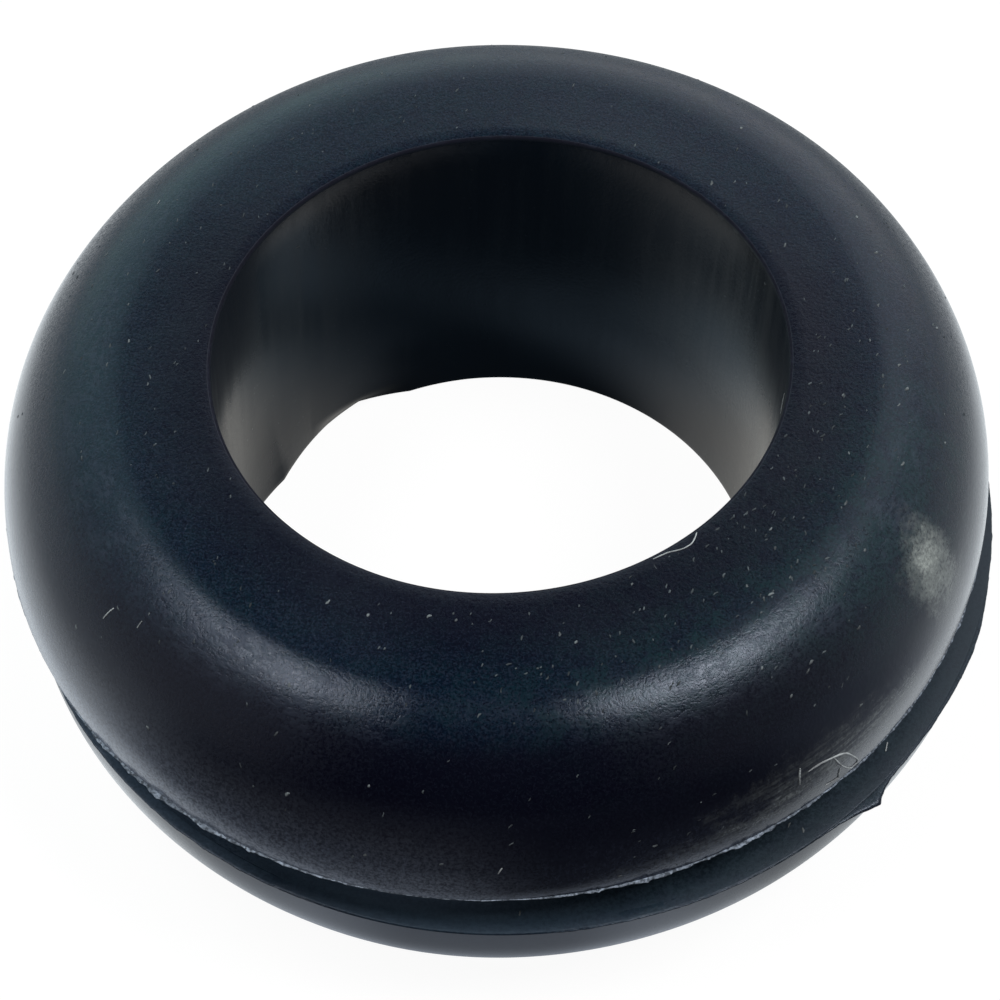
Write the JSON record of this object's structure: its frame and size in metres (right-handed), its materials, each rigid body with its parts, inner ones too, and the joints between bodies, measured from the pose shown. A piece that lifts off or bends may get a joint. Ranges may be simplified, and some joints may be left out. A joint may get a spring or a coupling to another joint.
{
  "type": "rubber grommet",
  "caption": "Black rubber wiring grommet: a short tube with a rounded flange at each end and a narrow groove between them that grips the edge of a panel hole.",
  "frame": {"origin": "on the bore's axis, in the flat face of the lower flange, which is the face that the grommet lies on", "axes": "+Z along the bore's axis, up through the upper flange. +X is the side where the lower flange stands out furthest, and the torn flash tab points between +X and -Y."},
  "size_m": [0.0254, 0.0252, 0.0104],
  "materials": {
    "rubber": "satin moulded rubber, black with a faint blue cast, lightly dusted"
  },
  "bodies": {
    "root": {"grommet": "rubber"}
  },
  "joints": []
}
